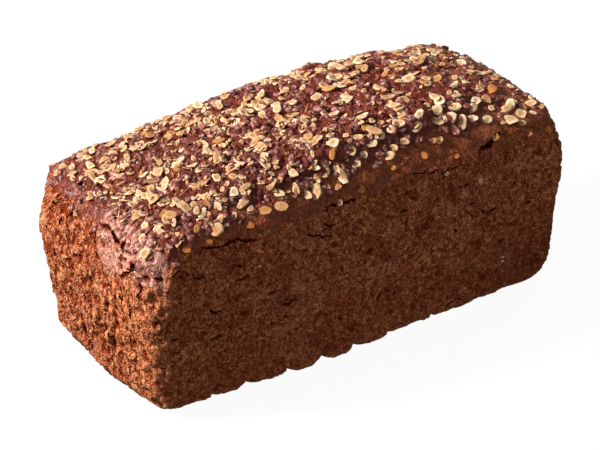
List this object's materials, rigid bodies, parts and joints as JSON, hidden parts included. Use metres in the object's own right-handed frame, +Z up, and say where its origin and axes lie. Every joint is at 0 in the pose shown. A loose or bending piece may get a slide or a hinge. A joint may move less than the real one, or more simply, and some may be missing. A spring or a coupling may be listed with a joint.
{
  "type": "tin loaf of bread",
  "caption": "Whole dark wholemeal rye tin loaf with a gently domed crust covered in baked-on oat flakes; stands on its flat base.",
  "frame": {"origin": "on the surface the loaf stands on, under the middle of the box around it", "axes": "+X along the loaf, +Y across it, +Z up out of the risen top"},
  "size_m": [0.2404, 0.1114, 0.1144],
  "materials": {
    "crust": "dry baked wholemeal rye crust, rough on the walls and slightly shiny on top"
  },
  "bodies": {
    "root": {"loaf": "crust"}
  },
  "joints": []
}
